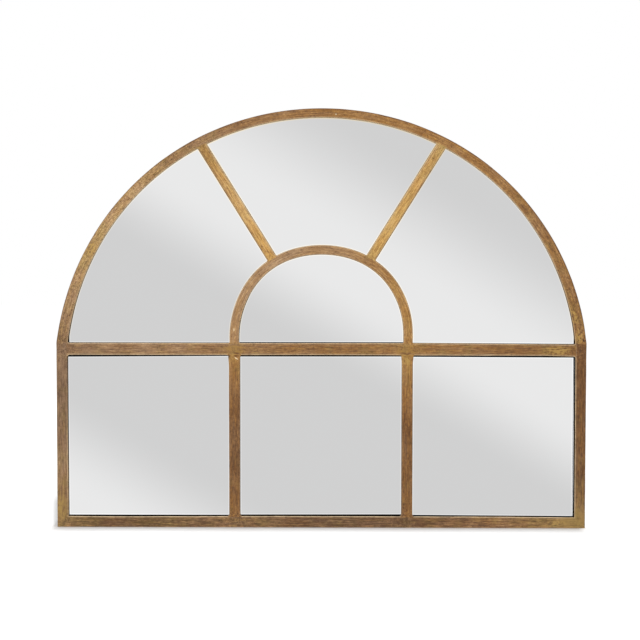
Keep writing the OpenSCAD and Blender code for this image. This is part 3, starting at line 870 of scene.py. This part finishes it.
def mirrorPaint(paint):
    # silvered glass: a clean mirror in front, ground greenish edges, grey paint behind
    depth = paint.add("SeparateXYZ", {"Vector": paint.objectPlace()}, output=1)
    low, high = box("pane_lunette")
    front = depth.ramp(*(low[1] + part for part in paneLook["silverDepth"]), 1, 0)
    back = depth.ramp(*(high[1] - part for part in paneLook["paintDepth"]))
    hazed = tuple(paneLook["haze"] * part for part in paneLook["silver"])
    silver = paint.blend(paint.noise(7, 3, 0.5), paneLook["silver"], hazed)
    # painted highlight: a paler rim along the pane's edges
    silver = paint.blend(paint.attribute("rim"), silver, paneLook["rimSilver"])
    # painted reflection of the brass bars in the rim beside the curved bars
    silver = paint.blend(paint.attribute("warm"), silver, paneLook["warmSilver"])
    colour = paint.blend(front, paneLook["groundEdge"], silver)
    colour = paint.blend(back, colour, paneLook["backPaint"])
    grind = paint.noise(900, 2, 0.5)
    paint.skin(Base_Color=colour, Metallic=front, Roughness=(1.0 - front) * (0.25 + grind * 0.2),
               IOR=1.5, Specular_IOR_Level=0.5)


def mergedShell(name):
    # a copy of a CAD piece with its loose triangles merged into whole faces
    shell = bmesh.new()
    shell.from_mesh(nodes[name].data)
    bmesh.ops.remove_doubles(shell, verts=shell.verts, dist=1e-6)
    bmesh.ops.dissolve_limit(shell, angle_limit=math.radians(0.5), verts=shell.verts, edges=shell.edges)
    bmesh.ops.recalc_face_normals(shell, faces=shell.faces)
    return shell


def paneOutline(name):
    # the corners of the glass's front face in order, as x and z, turning anticlockwise
    shell = mergedShell(name)
    front = max((face for face in shell.faces if face.normal.y < -0.9), key=lambda face: face.calc_area())
    outline = np.array([corner.co[:] for corner in front.verts])[:, [0, 2]]
    shell.free()
    after = np.roll(outline, -1, axis=0)
    area = (outline[:, 0] * after[:, 1] - outline[:, 1] * after[:, 0]).sum()
    return outline if area > 0 else outline[::-1]


def outwards(outline):
    # each edge's outward unit normal
    along = np.roll(outline, -1, axis=0) - outline
    along = along / np.linalg.norm(along, axis=1)[:, None]
    return np.stack([along[:, 1], -along[:, 0]], -1)


def pushOutline(outline, growth):
    # each edge moves out by its growth, and each corner goes to where its two moved edges meet:
    # ((g1 - c g2) n1 + (g2 - c g1) n2) / (1 - c^2), with c the cosine between the edges' normals
    second = outwards(outline)
    first = np.roll(second, 1, axis=0)
    growSecond = np.broadcast_to(growth, len(outline))
    growFirst = np.roll(growSecond, 1)
    cosine = (first * second).sum(1)
    curved = cosine > 0.95
    divisor = np.where(curved, 1.0, 1 - cosine ** 2)
    corner = ((growFirst - cosine * growSecond) / divisor)[:, None] * first \
        + ((growSecond - cosine * growFirst) / divisor)[:, None] * second
    curve = (first + second) * ((growFirst + growSecond) / 2 / (1 + cosine))[:, None]
    return outline + np.where(curved[:, None], curve, corner)


def buildPane(name):
    # rings of the outline from the back chamfer to the inside of the paler rim, then two flat faces
    outline = paneOutline(name)
    gaps = paneGaps.get(name, {})
    for corner, way in cornerWays.items():
        outline[np.argmax(outline @ way)] += gaps.get(corner, (0, 0))
    low, high = box(name)
    normal = outwards(outline)
    middle = (outline + np.roll(outline, -1, axis=0)) / 2
    # how far each edge moves out, or in where it is negative
    growth = np.full(len(outline), paneLook["creep"])
    for side, way in sideWays.items():
        facing = (normal @ way > paneLook["gapFacing"]) & (middle[:, 1] < paneLook["gapHeight"])
        growth[facing] = gaps.get(side, paneLook["creep"])
    # a corner carries the painted brass reflection where neither of its two edges is level and the pane lies
    # above the transom
    levelEdge = (np.abs(normal[:, 1]) > 0.9) & (middle[:, 1] < springZ + 0.01)
    plain = levelEdge | np.roll(levelEdge, 1) | name.startswith("pane_lower")
    reflectedBrassShare = np.where(plain, 0.0, 0.4 + 0.6 * smooth(outline[:, 1], *paneLook["warmHeight"]))
    arris, rim = paneLook["arris"], paneLook["rim"]
    # each ring: its depth, how far it lies outside the outline, and its shares of the painted rim highlight
    # and of the painted brass reflection
    rings = np.array([(high[1], -arris, 0, 0), (high[1] - arris, 0, 0, 0), (low[1] + arris, 0, 0, 0),
                      (low[1], -arris, 1, 1), (low[1], -0.5 * rim, 1, 0.8), (low[1], -rim, 0, 0)])
    grid = []
    for y, offset in rings[:, :2]:
        x, z = strayed(*pushOutline(outline, growth + offset).T)
        grid.append(np.stack([x, np.full(len(x), y), z], -1))
    values = {"rim": rings[:, 2:3] + 0 * reflectedBrassShare, "warm": rings[:, 3:] * reflectedBrassShare}
    uvAlong = np.cumsum([0.0, arris, high[1] - low[1] - 2 * arris, arris, 0.5 * rim, 0.5 * rim])
    pane = closeTube(name.replace("pane_", "mirror_"), np.array(grid), uvAlong, lengthRound(outline),
                     values, smooth=False)
    pane.data.materials.append(mirror)
    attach(pane, "framed_mirror")
    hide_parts(name)


mirror = newMaterial("mirror_glass", mirrorPaint)
for paneName in sorted(name for name in nodes if name.startswith("pane_")):
    buildPane(paneName)
print("stage: mirror panes")


# the back: board, tape, tabs, plates, straps, screws, rings and bumpers

backLook = {
    "board": (0.022, 0.021, 0.02), "boardFibre": (0.05, 0.047, 0.043), "boardScuff": (0.1, 0.095, 0.088),
    "steel": (0.03, 0.03, 0.031), "steelRub": (0.16, 0.155, 0.15),
    "rubber": (0.022,) * 3, "rubberDust": (0.075, 0.073, 0.07),
    "foam": (0.8, 0.8, 0.78), "foamCell": (0.62, 0.62, 0.6),
    # degrees between two faces from which their edge is shaded sharp, and is eased
    "sharpTurn": 35, "easedTurn": 40, "easedSteps": 3,
}

# zinc plate of each kind: light and cloudy colour, roughness, how strong the clouds are
zincLook = {
    "zinc_screw": ((0.7, 0.71, 0.73), (0.52, 0.53, 0.55), 0.26, 0.5),
    "zinc_strap": ((0.66, 0.67, 0.69), (0.42, 0.43, 0.45), 0.36, 0.9),
    "zinc_ring": ((0.68, 0.69, 0.71), (0.46, 0.47, 0.49), 0.3, 0.7),
}


def boardPaint(paint):
    # fibreboard under matt black paint, with pressed fibres and a few dusty scuffs
    fibre = paint.noise(1, 4, 0.65, paint.objectPlace(stretch=(60, 60, 240)))
    weave = paint.noise(1, 3, 0.6, paint.objectPlace(stretch=(260, 200, 70)))
    cloud = paint.noise(5, 4, 0.55)
    scuff = paint.noise(1, 3, 0.7, paint.objectPlace((0, 0.6, 0), (9, 9, 150)))
    pressed = (fibre * 0.6 + weave * 0.4).ramp(0.38, 0.68)
    colour = paint.blend(pressed, backLook["board"], backLook["boardFibre"])
    marked = scuff.ramp(0.66, 0.78, 0, 0.7) * cloud.ramp(0.45, 0.65)
    colour = paint.blend(marked, colour, backLook["boardScuff"])
    colour = paint.blend(cloud.ramp(0.5, 0.8, 0, 0.25), colour, backLook["boardFibre"])
    paint.skin(Base_Color=colour, Roughness=0.8 - marked * 0.15 + (weave - 0.5) * 0.2,
               Normal=paint.bump(fibre + weave, 0.0006, 0.6), Specular_IOR_Level=0.35)


def steelPaint(paint):
    # satin black paint on steel, rubbed through in small places
    peel = paint.noise(700, 2, 0.5)
    wear = paint.noise(160, 5, 0.7)
    worn = wear.ramp(0.63, 0.72, 0, 0.8)
    colour = paint.blend(worn, backLook["steel"], backLook["steelRub"])
    paint.skin(Base_Color=colour, Metallic=worn * 0.7, Roughness=0.42 + (peel - 0.5) * 0.25,
               Normal=paint.bump(peel + wear, 0.0002, 0.5))


def zincPaint(paint, light, cloudy, roughness, clouds):
    # zinc plate: bright crystals, soft clouds and fine scratches
    cloud = paint.noise(90, 4, 0.6)
    scratch = paint.noise(1, 3, 0.6, paint.objectPlace((0, 0.5, 0), (200, 200, 2600)))
    grain = paint.noise(1500, 2, 0.5)
    dull = cloud.ramp(0.4, 0.68, 0, clouds)
    rough = roughness + dull * 0.16 + (scratch - 0.5) * 0.15 + (grain - 0.5) * 0.08
    paint.skin(Base_Color=paint.blend(dull, light, cloudy), Metallic=1.0, Roughness=rough,
               Normal=paint.bump(scratch * 0.6 + grain * 0.4, 0.00012, 0.5))


def rubberPaint(paint):
    # matt moulded rubber with a little dust
    dust = paint.noise(220, 4, 0.65)
    pebble = paint.noise(1400, 2, 0.5)
    colour = paint.blend(dust.ramp(0.5, 0.8, 0, 0.6), backLook["rubber"], backLook["rubberDust"])
    paint.skin(Base_Color=colour, Roughness=0.72 + (dust - 0.5) * 0.3,
               Normal=paint.bump(pebble, 0.0002, 0.5), Specular_IOR_Level=0.4)


def foamPaint(paint):
    # white foam with open cells on its cut sides
    cells = paint.add("TexVoronoi", {"Vector": paint.objectPlace(), "Scale": 1800.0})
    shade = paint.noise(60, 3, 0.5)
    hollow = cells.ramp(0.25, 0.75) * 0.6 + shade * 0.3
    colour = paint.blend(hollow, backLook["foam"], backLook["foamCell"])
    paint.skin(Base_Color=colour, Roughness=0.92, Normal=paint.bump(cells, 0.0003, 0.7))


def arrisedCopy(name, slotName, width):
    # the CAD piece's own outline with its triangles merged and its sharp edges eased
    mesh = bpy.data.meshes.new(name + "_part")
    shell = mergedShell(name)
    shell.to_mesh(mesh)
    shell.free()
    mesh.polygons.foreach_set("use_smooth", np.ones(len(mesh.polygons), bool))
    mesh.set_sharp_from_angle(angle=math.radians(backLook["sharpTurn"]))
    copy = linkToScene(bpy.data.objects.new(name + "_part", mesh))
    chamfer = copy.modifiers.new("arris", "BEVEL")
    chamfer.width = width
    chamfer.segments = backLook["easedSteps"]
    chamfer.limit_method = "ANGLE"
    chamfer.angle_limit = math.radians(backLook["easedTurn"])
    chamfer.harden_normals = True
    mesh.materials.append(materials[slotName])
    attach(copy, "framed_mirror")
    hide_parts(name)


ringLook = {
    "bend": 0.003,  # radius of the two upper bends, to the middle of the wire
    "pathStep": 0.0004, "leastSteps": 12,  # along each arc
    "round": 20,  # faces round the wire
}


def buildRing(name, joint, body):
    # round wire on a closed path: a level bar, two bends, two sides and a half-round bow
    low, high = box(name)
    wire, bend = (high[1] - low[1]) / 2, ringLook["bend"]
    half = (high[0] - low[0]) / 2 - wire
    hinge = np.array(joint["pos_m"])
    bowZ = low[2] + wire + half - hinge[2]
    arcs = [(half - bend, -bend, bend, 90, 0), (0, bowZ, half, 0, -180), (bend - half, -bend, bend, 180, 90)]
    path, outward = [], []
    for centreX, centreZ, radius, fromTurn, toTurn in arcs:
        arc = radius * math.radians(abs(toTurn - fromTurn))
        count = max(int(arc / ringLook["pathStep"]), ringLook["leastSteps"])
        a = np.radians(np.linspace(fromTurn, toTurn, count))
        way = np.stack([np.cos(a), np.sin(a)], -1)
        path.append(way * radius + (centreX, centreZ))
        outward.append(way)
    path, outward = np.concatenate(path), np.concatenate(outward)
    a = np.linspace(0, 2 * np.pi, ringLook["round"], endpoint=False)
    aside = np.cos(a)[None, :, None] * outward[:, None, :] * wire + path[:, None, :]
    y = np.broadcast_to(np.sin(a) * wire, aside.shape[:2])
    grid = np.stack([hinge[0] + aside[..., 0], hinge[1] + y, hinge[2] + aside[..., 1]], -1)
    uvRound = np.linspace(0, 2 * np.pi * wire, ringLook["round"] + 1)
    ring = closeTube(name + "_wire", grid, lengthRound(path), uvRound, ends=False)
    ring.data.materials.append(materials["zinc_ring"])
    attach(ring, body)
    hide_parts(name)


materials = {slotName: newMaterial(slotName, zincPaint, *look) for slotName, look in zincLook.items()}
for slotName, fill in (("black_board", boardPaint), ("black_steel", steelPaint),
                       ("black_rubber", rubberPaint), ("foam", foamPaint)):
    materials[slotName] = newMaterial(slotName, fill)

# each material slot's pieces of the back, after the width of their eased edges
backPieces = {
    "black_board": (0.0006, ["backing_board"]),
    "foam": (0.0001, ["foam_tape"]),
    "black_steel": (0.0005, ["retaining_tabs", "left_hanger_plate", "right_hanger_plate"]),
    "zinc_strap": (0.0002, ["left_ring_strap", "right_ring_strap"]),
    "zinc_screw": (0.0003, ["board_screws", "strap_screws"]),
    "black_rubber": (0.0012, ["wall_bumpers"]),
}
for slotName, (width, pieceNames) in backPieces.items():
    for pieceName in pieceNames:
        arrisedCopy(pieceName, slotName, width)
for side in ("left", "right"):
    swing = next(joint for joint in frame["record"]["behaviour"]["joints"]
                 if joint["name"] == side + "_ring_swing")
    buildRing(side + "_hanging_ring", swing, side + "_ring")
print("stage: the back")
